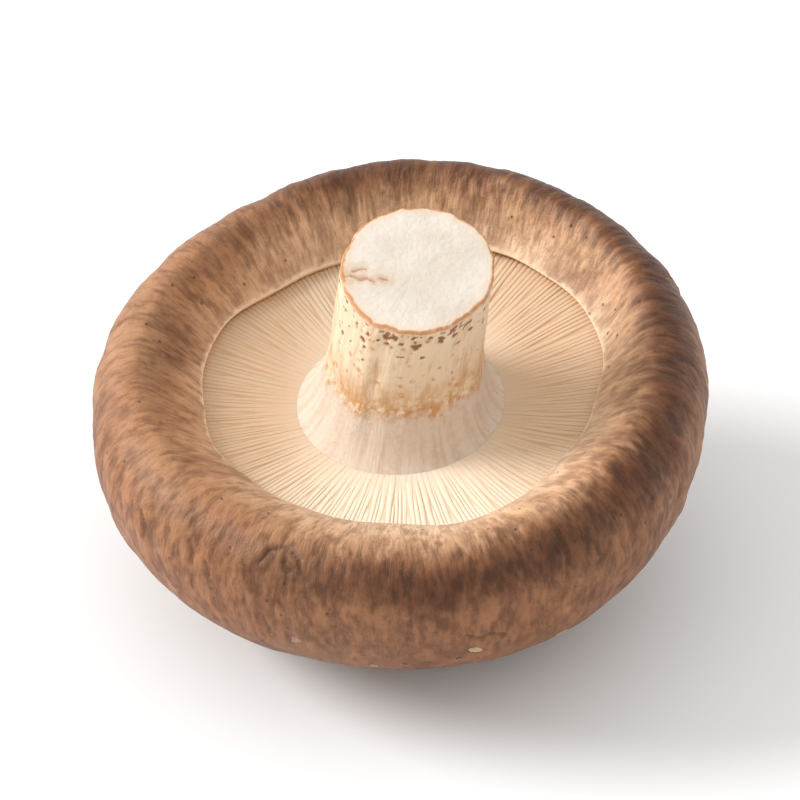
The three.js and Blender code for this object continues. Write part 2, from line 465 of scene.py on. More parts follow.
# Cracks of the skin: chains of places, each an angle in degrees and a way in millimetres
CRACKS = (
    ((-117.5, 4.2), (-116.5, 2.9), (-114, 2.1), (-111.5, 2.3), (-109.8, 3.3), (-109, 4.3)),
    ((-112.8, 3.6), (-112, 4.6), (-110.8, 4.4)),
    ((-133, 5.2), (-131.8, 6.4), (-131.6, 7.8)),
    ((-128.5, 6.6), (-127.6, 8.2)),
    ((-52, 5.0), (-50.5, 6.2), (-50.8, 7.6), (-49, 8.6)),
    ((22, 3.4), (23.5, 4.5), (23, 5.8)),
    ((-146, 6.0), (-144, 7.2), (-144.5, 8.8)),
    ((-78, 12.5), (-75.5, 13.2), (-73.5, 12.6), (-71, 13.4)),
    ((-160, 14), (-157, 15.5), (-157.5, 17.2)),
    ((140, 4.0), (142, 5.2), (141, 6.8)),
    ((95, 7.0), (98, 8.1), (99, 9.8)),
    ((-20, 15.0), (-17, 16.0), (-16.5, 17.8)),
    ((60, 16.0), (63, 16.6), (66, 15.9)),
)


def skin_cracks(grid, around, down):
    """How deep in a crack each point of the skin is, and how swollen beside one: narrow bells of the
    distance to the cracks' chains, with the way bent a little by noise."""
    along = np.degrees(around) % 360 * MM_A_DEGREE
    bent = down + 0.2 * noise(grid * 0.9, 31)
    crack, swollen = np.zeros((2, *down.shape))
    for path in CRACKS:
        nearest = off_path(along, bent, [(place % 360 * MM_A_DEGREE, way) for place, way in path])
        crack = np.maximum(crack, hump(nearest, 0, 0.2))
        swollen = np.maximum(swollen, hump(nearest, 0.55, 0.35))
    return crack, swollen


def cap_relief():
    """The cap's points with its fine relief, raised along the normals, and the values that its finish
    reads. The grain is the place on the skin if the mushroom were equally thick all the way, and
    meanders. Ridges of fibre and soft pleats are noise drawn out along it, and pits are strewn bells."""
    grid, around, down = cap_grid()
    straight = polar(SKIN_RADIUS, around, down)
    meander = 0.3 * noise(straight / (5, 5, 4), 1) + 0.13 * noise(straight / (1.3, 1.3, 1.1), 2)
    grain = polar(SKIN_RADIUS, around + meander / SKIN_RADIUS, down)
    off_dome = ease(-down, -24, -9)
    pleats = noise(grain / (1.1, 1.1, 3.2), 3)
    ridges = noise(grain / (0.46, 0.46, 1.5), 5) + 0.55 * noise(grain / (0.3, 0.3, 0.8), 7)
    lumps = layered(grid / 0.9, 11, 2)
    dents = layered(grid / 9, 13, 2) * ease(down, -4, 4)
    distance, number = scattered(grid / 2.4, 21)
    pit = hump(distance * 2.4, 0, 0.26) * (number > 0.5)
    crack, swollen = skin_cracks(grid, around, down)
    fibres = (PLEATS * pleats + RIDGES * ridges) * mix(0.1, 1, ease(down, -6.9, -3.0) * off_dome)
    relief = fibres + LUMPS * lumps * ease(down, -7, 0) + DENTS * dents - PITS * pit
    relief = relief - CRACK_DEPTH * crack + CRACK_SWELLING * swollen
    groove = LIP_GROOVE * hump(down, -6.4, 0.4) * (1 + noise(grain / (1.2, 1.2, 9), 41))
    relief = (relief * ease(down, -7.0, -6.0) - groove) * ease(down, -9, -7)
    edge = 1 - ease(down + 0.15 * noise(grain / (0.8, 0.8, 9), 43), -7.35, -7.1)
    band = down - band_wave(around) + 0.8 * noise(straight / (6, 6, 9), 45)
    pale = ease(np.cos(around + 3.05), 0.0, 0.95) * hump(down, -0.5, 6)
    tone = (ridges * 0.65 + pleats * 0.4 + lumps * 0.3) * mix(0.25, 1, off_dome) + 0.25 * pale
    patterns = dict(grain=grain, band=band, tone=tone, pale=pale, pit=pit, crack=crack, edge=edge)
    return grid + outward(grid) * relief[..., None], patterns


def cap(points, patterns):
    """The cap as two closed pieces that share a row of points and its normals: the dome below, and the
    ring of the rim."""
    finish = cap_finish()
    normals = outward(points)
    pieces = ("cap_dome", slice(0, DOME_ROWS), False), ("cap_rim", slice(DOME_ROWS - 1, None), True)
    for name, part, ring in pieces:
        of_part = {pattern: values[part] for pattern, values in patterns.items()}
        grown(name, points[part], finish, "cap", ring, normals[part], **of_part)


# Gills

# Places across a gill, from one valley to the next, and how high it stands there
ACROSS_GILL = np.array([0, 0.1, 0.22, 0.38, 0.62, 0.78, 0.9])
PLATE_FORM = np.array([0, 0.6, 0.92, 1, 1, 0.92, 0.6])


def gill_height(r):
    """Height of the gills' free edges, rising from the stem to the rim."""
    t = np.clip((r - GILL_INNER_RADIUS) / (EDGE_RADIUS + EDGE_OVERHANG - GILL_INNER_RADIUS), 0, 1)
    return mix(GILL_HEIGHT_AT_STEM, GILL_HEIGHT_AT_RIM, t**1.2)


def gill_places(rows, chance):
    """Angles across each gill in each row, the angle of its middle, and how far it has risen from the
    floor. Long gills keep their places, and grow thinner where a short one comes in beside them. Each
    short gill starts at a radius of its own, spread by golden shares."""
    number = np.arange(LONG_GILLS)
    start = 10.5 + 8.0 * (number * GOLDEN_SHARE % 1)
    there = ease(rows, start - 2.5, start + 1.5)
    pitch = 2 * np.pi / LONG_GILLS
    middle = pitch * (number + 0.22 * (chance[::2] - 0.5))
    half = pitch / 2 * (1 - 0.5 * mix(0.06, 1, there))
    half_before = np.roll(half, 1, axis=1)
    share = np.stack([half + half_before, pitch - 2 * half], axis=-1).reshape(len(rows), -1)
    first = np.stack([middle - half_before, middle + half], axis=-1).reshape(len(rows), -1)
    whole_turn = np.where(number == LONG_GILLS - 1, 2 * np.pi, 0)
    share[:, 1::2] += np.roll(middle, -1) - middle - pitch + whole_turn
    angle = first[..., None] + share[..., None] * ACROSS_GILL
    centre = (first + share / 2)[..., None]
    risen = np.stack([np.ones_like(there), ease(rows, start - 0.3, start + 2.4)], axis=-1)
    return angle, centre, risen.reshape(len(rows), -1)[..., None]


def gill_ring():
    """The gills, one ring. Long gills run from stem to rim, with a short one between each two. Across
    each gill the height goes from the valley up a steep side to a narrow rounded edge and down again."""
    rows = np.concatenate([np.linspace(20.2, 18.2, 9), np.linspace(18, 8.8, 40)])[:, None]
    number = np.arange(2 * LONG_GILLS)
    chance = lattice(np.stack([number, 0 * number, 0 * number], axis=-1), 51)
    angle, centre, risen = gill_places(rows, chance)
    r = np.broadcast_to(rows[..., None], angle.shape)
    angle = angle + 0.004 * noise(by_angle(r / 4, 4, centre), 61)
    own_height = 0.03 * (2 * chance - 1)[:, None] + 0.02 * noise(polar(r / 1.6, centre, 0 * r), 71)
    groups = 0.05 * noise(by_angle(r / 5, 12, centre), 73)
    form = PLATE_FORM * risen
    valley = VALLEY_DEPTH * mix(0.12, 1, ease(r, 9.8, 16))
    out = ease(r, GILL_INNER_RADIUS, EDGE_RADIUS)
    h = gill_height(r) + out * edge_height_wave(angle) + (own_height * form + groups) * ease(r, 10, 13)
    free = polar(r * (1 + out * edge_wave(angle) / EDGE_RADIUS), angle, h - valley * (1 - form))
    free = free.reshape(len(rows), -1, 3)
    attached = [free[-1].copy(), free[0].copy()]
    attached[0][:, 2] = FLOOR_HEIGHT + SEAM
    attached[1][:, 2] = FLOOR_HEIGHT_AT_RIM + SEAM
    points = np.concatenate([attached, free])
    depth = (valley * (1 - form)).reshape(len(rows), -1) / VALLEY_DEPTH
    depth = np.concatenate([np.ones((2, depth.shape[1])), depth])
    place = np.broadcast_to(number[None, :, None] * 1.7, angle.shape)
    plate = np.stack(np.broadcast_arrays(place, r, 0 * r), axis=-1).reshape(len(rows), -1, 3)
    plate = np.concatenate([plate[-1:], plate[:1], plate])
    grown("gill_plates", points, gill_finish(), "gills", ring=True, depth=depth, plate=plate)


# Stem

# Heights up the stem's side, and its radius there
FLARE = (
    (GILL_HEIGHT_AT_STEM - 0.7, 11.1),
    (GILL_HEIGHT_AT_STEM - 0.2, 10.55),
    (GILL_HEIGHT_AT_STEM, 10.3),
    (GILL_HEIGHT_AT_STEM + 0.35, 9.9),
    (GILL_HEIGHT_AT_STEM + 0.8, 9.5),
    (GILL_HEIGHT_AT_STEM + 1.4, 9.1),
    (0.1, 8.7),
    (1.0, 8.37),
    (2.2, 8.0),
    (VEIL_SCAR_HEIGHT, 7.7),
    (5, 7.56),
    (8, STEM_RADIUS),
    (11, STEM_RADIUS - 0.05),
    (CUT_HEIGHT - 1.2, STEM_RADIUS),
    (CUT_HEIGHT - 0.25, STEM_RADIUS - 0.06),
)

# Cracks of the cut face, as chains of places across it, and the middle of its stain
CUT_CRACKS = (
    ((-7.1, -0.6), (-6.4, -0.45), (-5.7, -0.8), (-4.9, -0.75), (-4.2, -1.2)),
    ((-6.2, 0.1), (-5.5, 0.35), (-4.9, 0.2)),
    ((-3.6, -0.9), (-2.9, -1.1)),
)
STAIN_PLACE = (-6.8, -0.4)


def stem_side():
    """Heights up the stem's side and its radius there: a smooth curve that flares out into the gills."""
    knots, radii = zip(*FLARE)
    near_gills = mix(knots[0], 2, np.linspace(0, 1, 44) ** 2)
    heights = np.concatenate([near_gills, np.linspace(2.17, CUT_HEIGHT - 0.32, 82)])
    return heights, np.minimum.accumulate(smooth_through(heights, knots, radii))


def stem_rows():
    """Radius and height of the stem's rows, up its side, over a small rounding and in over the cut face,
    and how far each is on the face, from 0 to 1."""
    side_h, side_r = stem_side()
    foot_r = [FLARE_RADIUS - 0.6, FLARE_RADIUS - 0.1]
    foot_h = [FLOOR_HEIGHT + SEAM, FLOOR_HEIGHT + SEAM + 0.5]
    t = np.radians(np.linspace(0, 90, 7))[1:]
    round_r = STEM_RADIUS - 0.36 + CUT_ROUNDING * np.cos(t)
    round_h = CUT_HEIGHT - CUT_ROUNDING + CUT_ROUNDING * np.sin(t)
    face_r = np.linspace(STEM_RADIUS - 0.46, 0.15, 58)
    face_h = CUT_HEIGHT + 0.08 * (1 - (face_r / STEM_RADIUS) ** 2)
    r = np.concatenate([foot_r, side_r, round_r, face_r])
    h = np.concatenate([foot_h, side_h, round_h, face_h])
    on_face = [np.zeros(len(foot_r) + len(side_r)), np.linspace(0, 1, len(t)), np.ones(len(face_r))]
    return r[:, None], h[:, None], np.concatenate(on_face)[:, None]


def stem_fibres(straight, angle, h, below_cut):
    """The side's relief without its foot's ease, and the values that its finish reads. Fibres and bundles
    are noise drawn out up the stem, specks are strewn spots that crowd under the cut at the front, and
    the scar of the veil is a ragged step with tufts over it."""
    grain = polar(STEM_GRAIN_RADIUS, angle + 0.04 * noise(straight / (2, 2, 3), 79), h)
    bundles = noise(grain / (1.1, 1.1, 9), 81)
    fibres = noise(grain / (0.42, 0.42, 4.5), 83) + 0.6 * noise(grain / (0.22, 0.22, 2.4), 84)
    lumps = layered(straight / (1.5, 1.5, 2.4), 91, 3)
    lines = noise(polar(10, angle, 0 * h) / 0.36, 93) * ease(-h, -3.0, 0.5)
    ragged = 0.4 * noise(straight / (1.6, 1.6, 60), 85)
    scar_edge = VEIL_SCAR_HEIGHT - 0.5 + ragged + 0.25 * noise(straight / (0.5, 0.5, 60), 87)
    scar_edge = scar_edge + 0.35 * noise(straight / 0.4, 88)
    above_scar = ease(h, scar_edge - 0.3, scar_edge + 0.3)
    near_scar = hump(h, scar_edge + 0.6, 1.1)
    tufts = layered(straight / (0.4, 0.4, 0.45), 89, 2)
    front = 0.5 - 0.5 * np.sin(angle + 0.25)
    crowded = hump(below_cut, 1.1, 1.3) * front**2 + 0.1 * hump(below_cut, 3.5, 4.5)
    moved = straight + 0.3 * noise(straight / 0.5, 103)[..., None]
    distance, number = scattered(moved / (0.85, 0.85, 0.7), 101)
    within = ease(mix(0.2, 0.6, number * 7 % 1) - distance, -0.06, 0.08)
    specks = within * (number < crowded) * ease(below_cut, 0.25, 0.6)
    relief = (0.05 * bundles + 0.035 * fibres) * ease(h, -0.5, 3.5) + 0.06 * lumps * ease(h, 0, 4)
    relief = relief + 0.02 * lines + 0.04 * above_scar + 0.08 * near_scar * tufts.clip(-0.3, 0.6)
    relief = relief - 0.06 * specks - 0.06 * ease(h, 0, 3)
    return relief, {
        "grain": grain,
        "above_scar": h - scar_edge,
        "shreds": near_scar * tufts,
        "specks": specks,
        "lines": lines + 0 * h,
        "fibres": fibres * 0.5 + bundles * 0.5,
    }


def cut_face(r, angle, on_face):
    """The cut face's relief, and how deep in a crack and how stained each point is. Fibres run out from
    the middle, which is a little hollow, the felt is layered noise, and cracks are narrow bells round
    their chains."""
    x, y = r * np.cos(angle), r * np.sin(angle)
    flat = np.stack([x, y, 0 * x], axis=-1)
    rays = noise(polar(9, angle, r) / (0.4, 0.4, 2.6), 95) * ease(r, 0.5, 4)
    felt = layered(flat / 0.45, 97, 2)
    bent = y + 0.18 * noise(flat / 0.5, 99)
    crack, stain = np.zeros((2, *x.shape))
    for path in CUT_CRACKS:
        away = off_path(x, bent, path)
        crack = np.maximum(crack, hump(away, 0, 0.12) * on_face)
        stain = np.maximum(stain, hump(away, 0, 0.6) * on_face)
    from_stain = np.hypot(x - STAIN_PLACE[0], y - STAIN_PLACE[1])
    stain = np.maximum(stain, hump(from_stain, 0, 1.3) * on_face)
    relief = 0.008 * rays + 0.02 * felt - 0.08 * crack - 0.06 * stain - 0.14 * hump(r, 0, 5)
    return relief, crack, stain


def leaned_stem(r, angle, h):
    """Points of the stem without its fine relief: the cut is tilted, and the stem leans more the higher
    it is."""
    reach = r * (1 + ease(h, GILL_HEIGHT_AT_STEM, 2) * stem_wave(angle) / STEM_RADIUS)
    point = polar(reach, angle, h)
    rise = ((h - GILL_HEIGHT_AT_STEM) / (CUT_HEIGHT - GILL_HEIGHT_AT_STEM)).clip(0)
    point[..., 2] += ease(h, 6, CUT_HEIGHT - 1) * point[..., 1] * np.tan(CUT_SLOPE)
    point[..., 0] += STEM_LEAN[0] * rise**1.15
    point[..., 1] += STEM_LEAN[1] * rise**1.15
    return point


def stem():
    """The stem: rows round a smooth profile, leaned, with the relief of its side and of its cut face
    raised along the normals."""
    r, h, on_face = stem_rows()
    angle = np.arange(STEM_COLUMNS) * 2 * np.pi / STEM_COLUMNS
    past_edge = [CUT_HEIGHT - 0.1 - h, r - STEM_RADIUS + 0.16]
    below_cut = np.select([on_face == 0, on_face == 1], past_edge, 0.2 - 0.4 * on_face)
    side_relief, patterns = stem_fibres(polar(STEM_GRAIN_RADIUS, angle, h), angle, h, below_cut)
    face_relief, crack, stain = cut_face(r, angle, on_face)
    from_gills = ease(h, GILL_HEIGHT_AT_STEM + 0.1, -0.5)
    relief = (1 - on_face) * side_relief * from_gills + on_face * face_relief
    point = leaned_stem(r, angle, h)
    point = point + outward(point) * relief[..., None]
    patterns["specks"] = patterns["specks"] * (1 - on_face)
    patterns |= {"below_cut": np.broadcast_to(below_cut, crack.shape), "crack": crack, "stain": stain}
    grown("stem_stalk", point, stem_finish(), "stem", **patterns)


# Materials


class Value:
    """An output of a material's node. Sums, products and powers of values add Math nodes."""

    def __init__(self, finish, socket):
        self.finish, self.socket = finish, socket

    def maths(self, operation, first, second):
        return self.finish.node("ShaderNodeMath", {"operation": operation}, {0: first, 1: second})

    def __add__(self, other):
        return self.maths("ADD", self, other)

    def __sub__(self, other):
        return self.maths("SUBTRACT", self, other)

    def __rsub__(self, other):
        return self.maths("SUBTRACT", other, self)

    def __mul__(self, other):
        return self.maths("MULTIPLY", self, other)

    def __truediv__(self, other):
        return self.maths("DIVIDE", self, other)

    def __rtruediv__(self, other):
        return self.maths("DIVIDE", other, self)

    def __pow__(self, other):
        return self.maths("POWER", self, other)

    __radd__ = __add__
    __rmul__ = __mul__


class Finish:
    """A material, and the methods that add its nodes."""

    def __init__(self, name):
        self.slot = name
        self.material = bpy.data.materials.new(name)
        self.material.use_nodes = True
        self.tree = self.material.node_tree
        self.tree.nodes.clear()

    def node(self, kind, settings=None, inputs=None, output=0):
        """Adds a node. Its settings are set first, then each input gets its value or its link."""
        node = self.tree.nodes.new(kind)
        for name, setting in (settings or {}).items():
            if name == "stops":
                while len(node.color_ramp.elements) < len(setting):
                    node.color_ramp.elements.new(1)
                for element, (place, colour) in zip(node.color_ramp.elements, setting):
                    element.position, element.color = place, (*colour, 1)
            else:
                setattr(node, name, setting)
        for name, value in (inputs or {}).items():
            if isinstance(value, Value):
                self.tree.links.new(value.socket, node.inputs[name])
            else:
                node.inputs[name].default_value = value
        return Value(self, node.outputs[output]) if node.outputs else None

    def pattern(self, name, vector=False):
        """The values that the mesh carries under that name."""
        return self.node("ShaderNodeAttribute", {"attribute_name": name}, output=1 if vector else 2)

    def place(self):
        """Object coordinates in millimetres."""
        return self.stretched(self.node("ShaderNodeTexCoord", output=3), (METRE,) * 3)

    def stretched(self, vector, factors):
        """The vector, each of its numbers times a factor."""
        return self.node("ShaderNodeVectorMath", {"operation": "MULTIPLY"}, {0: vector, 1: factors})

    def moved(self, vector, offset):
        """The vector plus an offset."""
        return self.node("ShaderNodeVectorMath", {"operation": "ADD"}, {0: vector, 1: offset})

    def height(self, vector, which=2):
        """The third number of a vector, or another."""
        return self.node("ShaderNodeSeparateXYZ", {}, {0: vector}, output=which)

    def cloud(self, vector, scale=1.0, detail=2.0, roughness=0.5, distortion=0.0, output=0):
        """Noise in 0..1, or with output 1 three such numbers."""
        inputs = {"Vector": vector, "Scale": scale, "Detail": detail}
        inputs |= {"Roughness": roughness, "Distortion": distortion}
        return self.node("ShaderNodeTexNoise", {}, inputs, output)

    def cells(self, vector, scale=1.0, feature="F1", output=0):
        """Distance to strewn points, or with another feature or output what else the node gives."""
        inputs = {"Vector": vector, "Scale": scale}
        return self.node("ShaderNodeTexVoronoi", {"feature": feature}, inputs, output)

    def chance(self, vector, scale):
        """The nearest strewn point's own random number, in 0..1."""
        return self.height(self.cells(vector, scale, output=1))

    def wandering(self, vector, scale, far):
        """The vector, moved about by smooth noise."""
        drift = self.cloud(vector, scale, detail=3.0, output=1)
        return self.moved(vector, self.stretched(self.moved(drift, (-0.5, -0.5, -0.5)), (far, far, far)))

    def step(self, value, low, high, start=0.0, end=1.0):
        """Takes low..high to start..end smoothly, and holds the ends."""
        inputs = {"Value": value, "From Min": low, "From Max": high, "To Min": start, "To Max": end}
        return self.node("ShaderNodeMapRange", {"interpolation_type": "SMOOTHSTEP"}, inputs)

    def ramp(self, value, low, high, *stops):
        """Colours along a stretch of a value, each stop given as the value and its colour."""
        places = [((place - low) / (high - low), colour) for place, colour in stops]
        return self.node("ShaderNodeValToRGB", {"stops": places}, {0: (value - low) / (high - low)})

    def blend(self, share, first, second, how="MIX"):
        """Mixes two colours."""
        settings = {"data_type": "RGBA", "blend_type": how}
        first, second = (c if isinstance(c, Value) else (*c, 1) for c in (first, second))
        return self.node("ShaderNodeMix", settings, {0: share, 6: first, 7: second}, output=2)

    def tinted(self, share, colour, tint):
        """The colour, in part multiplied by a tint."""
        return self.blend(share, colour, self.blend(1.0, colour, tint, "MULTIPLY"))

    def bump(self, height, depth):
        """Bumps of a depth in millimetres."""
        inputs = {"Height": height, "Strength": 1.0, "Distance": depth * MILLIMETRE}
        return self.node("ShaderNodeBump", {}, inputs)

    def close(self, **inputs):
        """The shader, with what varies linked and what is the same all over set on its own sockets."""
        named = {name.replace("_", " "): value for name, value in inputs.items()}
        shader = self.node("ShaderNodeBsdfPrincipled", {}, named)
        self.node("ShaderNodeOutputMaterial", {}, {"Surface": shader})
        return self


# Colours of the skin, in linear light, by the way over the roll: the ridges' and the grooves'
SKIN_FROM, SKIN_TO = -8, 46
SKIN = (
    (-7.3, (0.70, 0.495, 0.340), (0.42, 0.270, 0.172)),
    (-5.5, (0.67, 0.445, 0.285), (0.36, 0.213, 0.126)),
    (-3.3, (0.60, 0.365, 0.215), (0.29, 0.160, 0.088)),
    (-1.9, (0.47, 0.265, 0.146), (0.20, 0.102, 0.052)),
    (-0.8, (0.30, 0.141, 0.066), (0.12, 0.051, 0.022)),
    (0.4, (0.185, 0.073, 0.031), (0.078, 0.029, 0.012)),
    (1.8, (0.14, 0.053, 0.022), (0.062, 0.023, 0.009)),
    (3.6, (0.175, 0.069, 0.029), (0.073, 0.027, 0.010)),
    (6.0, (0.28, 0.123, 0.054), (0.125, 0.050, 0.022)),
    (14, (0.345, 0.152, 0.064), (0.155, 0.063, 0.027)),
    (44, (0.27, 0.112, 0.045), (0.115, 0.044, 0.018)),
)
PALE_RIDGE, PALE_GROOVE = (0.50, 0.265, 0.135), (0.28, 0.13, 0.06)
WARM_TINT, DEEP_TINT = (1.0, 0.86, 0.74), (0.62, 0.52, 0.46)
PRICK, PIT, CRACK = (0.06, 0.026, 0.015), (0.07, 0.030, 0.016), (0.08, 0.034, 0.018)
FINE_LINE = (0.12, 0.050, 0.026)
FLECK_EDGE, FLECK_TAN, FLECK_CREAM = (0.10, 0.043, 0.021), (0.44, 0.275, 0.155), (0.68, 0.51, 0.345)
# The second colour is a painted highlight on the lip below each nick
NICK, NICK_HIGHLIGHT = (0.055, 0.022, 0.011), (0.46, 0.265, 0.145)
EDGE_CREAM = (0.82, 0.61, 0.42)


def skin_ground(skin, place, grain, raised):
    """The skin's colour between that of the grooves and that of the ridges, by how high a place is
    raised, with warmer and deeper patches."""
    ragged = skin.cloud(skin.stretched(grain, (0.8, 0.8, 0.2)), detail=3.0) - 0.5
    band = skin.pattern("band") + ragged * 3.5
    ridge, groove = (
        skin.ramp(band, SKIN_FROM, SKIN_TO, *((stop[0], stop[which]) for stop in SKIN)) for which in (1, 2)
    )
    pale = skin.pattern("pale")
    ridge = skin.blend(pale * 0.65, ridge, PALE_RIDGE)
    groove = skin.blend(pale * 0.6, groove, PALE_GROOVE)
    colour = skin.blend(skin.step(raised, -0.85, 0.9), groove, ridge)
    warm = skin.step(skin.cloud(skin.moved(place, (3, 1, 9)), 0.09), 0.42, 0.62)
    colour = skin.tinted(warm * 0.35, colour, WARM_TINT)
    patches = skin.cloud(skin.moved(place, (1, 8, 2)), 0.13, detail=3.0, roughness=0.55, distortion=0.6)
    return skin.tinted(skin.step(patches, 0.48, 0.68) * 0.65, colour, DEEP_TINT)


def skin_flecks(skin, colour, place, grain, fine):
    """The colour with torn cream flecks on the dome, each with a dark edge, and the flecks' and edges'
    shares."""
    torn = skin.wandering(place, 0.7, 1.8)
    strewn = skin.step(skin.cloud(skin.moved(place, (7, 2, 4)), 0.07, detail=1.0), 0.36, 0.52)
    chance = skin.chance(torn, 0.3)
    size = (skin.step(chance, 0.2, 1.0) ** 1.7 * 0.26 + 0.05) * (strewn * 0.6 + 0.4)
    beyond = skin.cells(torn, 0.3) - size
    below_roll = skin.step(skin.height(grain), 12.0, 17.0) * skin.step(chance, 0.2, 0.22)
    fleck = skin.step(beyond + fine * 0.12, 0.03, -0.03) * below_roll
    rim = skin.step(beyond, 0.08, 0.02) * below_roll - fleck
    colour = skin.blend(rim * 0.45, colour, FLECK_EDGE)
    cream = skin.blend(skin.step(fine, -0.2, 0.2), FLECK_TAN, FLECK_CREAM)
    return skin.blend(fleck * 0.85, colour, cream), fleck, rim


def skin_nicks(skin, colour, grain, on_dome):
    """The colour with a few short dark nicks that have a painted highlight on a light lip below, and the
    nicks' share.
    """
    slanting = skin.wandering(skin.stretched(grain, (1.0, 1.0, 0.5)), 0.6, 0.8)
    few = skin.step(skin.chance(slanting, 0.42), 0.5, 0.55)
    nick = skin.step(skin.cells(slanting, 0.42), 0.13, 0.07) * few * on_dome
    # Painted highlight: a light lip just below each nick
    lip = skin.step(skin.cells(skin.moved(slanting, (0, 0, -0.35)), 0.42), 0.16, 0.06) * few * on_dome
    return skin.blend(nick * 0.8, skin.blend(lip * 0.5, colour, NICK_HIGHLIGHT), NICK), nick


def cap_finish():
    """Brown skin, pale at the edge and darkest over the top of the roll, with lighter ridges of fibre,
    pricks, pits, cracks and faint fine lines, and cream flecks and dark nicks on the dome."""
    skin = Finish("cap_skin")
    place = skin.place()
    grain = skin.pattern("grain", vector=True)
    tone, pit, crack, edge = (skin.pattern(name) for name in ("tone", "pit", "crack", "edge"))
    hairs = skin.cloud(skin.stretched(grain, (3.6, 3.6, 0.8)), 1.0, 3.0, 0.62, 0.2) - 0.5
    blotch = skin.cloud(place, 0.4, 4.0, 0.6, 0.4) - 0.5
    fine = skin.cloud(place, 2.6, 4.0, 0.65) - 0.5
    on_roll = skin.step(skin.height(grain), 26.0, 9.0)
    on_dome = skin.step(skin.height(grain), 6.0, 14.0)
    raised = tone * 0.9 + hairs * (on_roll * 1.4 + 0.5) + blotch * 0.9 + fine * 1.0
    colour = skin_ground(skin, place, grain, raised)
    picked = skin.step(skin.cells(place, 0.62, output=1), 0.4, 0.36)
    prick = skin.step(skin.cells(place, 0.62), 0.13, 0.07) * picked
    to_line = skin.cells(skin.moved(place, (2, 5, 3)), 0.5, "DISTANCE_TO_EDGE")
    line = skin.step(to_line, 0.045, 0.0) * skin.step(skin.cloud(place, 0.12), 0.5, 0.6) * on_dome
    marks = (prick, 0.6, PRICK), (pit, 0.65, PIT), (crack, 0.7, CRACK), (line, 0.2, FINE_LINE)
    for mark, strength, its_colour in marks:
        colour = skin.blend(mark * strength, colour, its_colour)
    colour, fleck, fleck_rim = skin_flecks(skin, colour, place, grain, fine)
    colour = skin.blend(edge * 0.85, colour, EDGE_CREAM)
    colour, nick = skin_nicks(skin, colour, grain, on_dome)
    relief = hairs * 0.6 + fine * 0.5 - prick * 0.7 - line * 0.25 + fleck * 0.9 - fleck_rim * 0.4 - nick
    roughness = 0.49 + fine * 0.3 - skin.step(tone, -0.4, 0.6) * 0.06 + fleck * 0.2 + edge * 0.15
    return skin.close(
        Base_Color=colour,
        Roughness=roughness,
        Normal=skin.bump(relief, 0.18),
        Specular_IOR_Level=0.25,
    )


# Colours of the gills, from their edges at 0 down to the valleys at 1: darker and more orange down in the
# valleys, a painted shade between the plates
PLATE_TO_SHADED_VALLEY = (
    (0.0, (0.79, 0.66, 0.52)),
    (0.3, (0.775, 0.63, 0.48)),
    (0.7, (0.74, 0.58, 0.42)),
    (1.0, (0.705, 0.53, 0.36)),
)
DARKER_PLATE, PLATE_BLOTCH = (0.74, 0.57, 0.40), (0.76, 0.60, 0.43)
# Painted shade: a browner tint over the gills towards the back and both sides, as if the rim and the stem
# shaded them
PAINTED_SHADE_TINT = (0.76, 0.645, 0.55)

# How far red, green and blue light goes in the flesh, as shares
THROUGH_FLESH = (1.0, 0.6, 0.35)


def gill_finish():
    """Ivory plates, more orange and a little darker down between them as painted shade, each plate a shade
    of its own, and browner towards the back and both sides, a painted shade as if from the rim and the stem."""
    plates = Finish("gills")
    place = plates.place()
    uneven = plates.cloud(plates.stretched(plates.pattern("plate", vector=True), (1.0, 0.22, 1.0)))
    blotch = plates.cloud(place, 0.3, detail=3.0)
    fine = plates.cloud(place, 4.0, detail=3.0)
    # Painted shade: the valleys between the plates are coloured darker and more orange
    colour = plates.ramp(plates.pattern("depth") + (blotch - 0.5) * 0.15, 0, 1, *PLATE_TO_SHADED_VALLEY)
    colour = plates.blend(plates.step(uneven, 0.5, 0.75) * 0.3, colour, DARKER_PLATE)
    colour = plates.blend(plates.step(blotch, 0.45, 0.7) * 0.2, colour, PLATE_BLOTCH)
    # Painted shade: darker and browner on the left, on the right and towards the back, lighter only at the
    # front
    across, back = plates.height(place, 0), plates.height(place, 1)
    shaded_sides = plates.step(across, -5.0, -17.0) * 0.7, plates.step(across, 5.0, 15.0) * 0.5
    colour = plates.tinted(plates.step(back, -16.0, -3.0) * 0.6 + shaded_sides[0] + shaded_sides[1], colour, PAINTED_SHADE_TINT)
    return plates.close(
        Base_Color=colour,
        Roughness=0.62 + fine * 0.15,
        Normal=plates.bump(fine, 0.04),
        Specular_IOR_Level=0.3,
        Subsurface_Weight=0.3,
        Subsurface_Radius=THROUGH_FLESH,
        Subsurface_Scale=0.0012,
    )


# Colours of the stem
SIDE_CREAM, SIDE_TAN, OCHRE = (0.70, 0.545, 0.385), (0.56, 0.36, 0.20), (0.50, 0.255, 0.098)
SPOT, SPECK = (0.47, 0.235, 0.085), (0.22, 0.088, 0.032)
SHRED_CREAM, SHRED_BROWN = (0.82, 0.70, 0.55), (0.42, 0.215, 0.095)
FLARE_IVORY, FLARE_LINE = (0.62, 0.51, 0.41), (0.54, 0.41, 0.30)
FACE_WHITE, FACE_IVORY, FACE_GREY = (0.635, 0.575, 0.505), (0.59, 0.51, 0.42), (0.52, 0.455, 0.38)
STAIN, CUT_CRACK = (0.50, 0.30, 0.16), (0.30, 0.155, 0.075)
BORDER_GLOW, BORDER = (0.66, 0.44, 0.25), (0.44, 0.185, 0.062)


